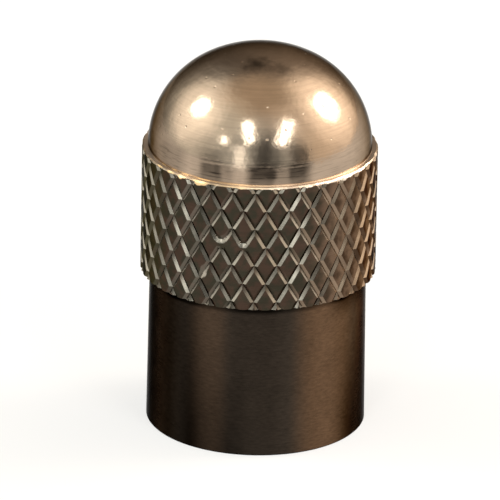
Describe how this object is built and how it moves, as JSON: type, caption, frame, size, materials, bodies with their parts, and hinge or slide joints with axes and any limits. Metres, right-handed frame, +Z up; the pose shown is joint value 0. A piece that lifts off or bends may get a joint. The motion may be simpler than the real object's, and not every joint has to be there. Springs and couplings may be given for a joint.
{
  "type": "tyre valve cap",
  "caption": "Domed metal tyre valve cap with a diamond-knurled grip band, a plain skirt, a blind threaded inside and a rubber sealing washer.",
  "frame": {"origin": "centre of the open mouth's plane, which the cap stands on", "axes": "+Z up the cap's axis, from the mouth to the crown of the dome; -Y faces the viewer of the picture"},
  "size_m": [0.0102, 0.0102, 0.017],
  "materials": {
    "plated_metal": "turned brass with a warm dark nickel plate, worn on the edges",
    "seal_rubber": "moulded matt black rubber"
  },
  "bodies": {
    "root": {"cap_body": "plated_metal", "sealing_washer": "seal_rubber"}
  },
  "joints": []
}
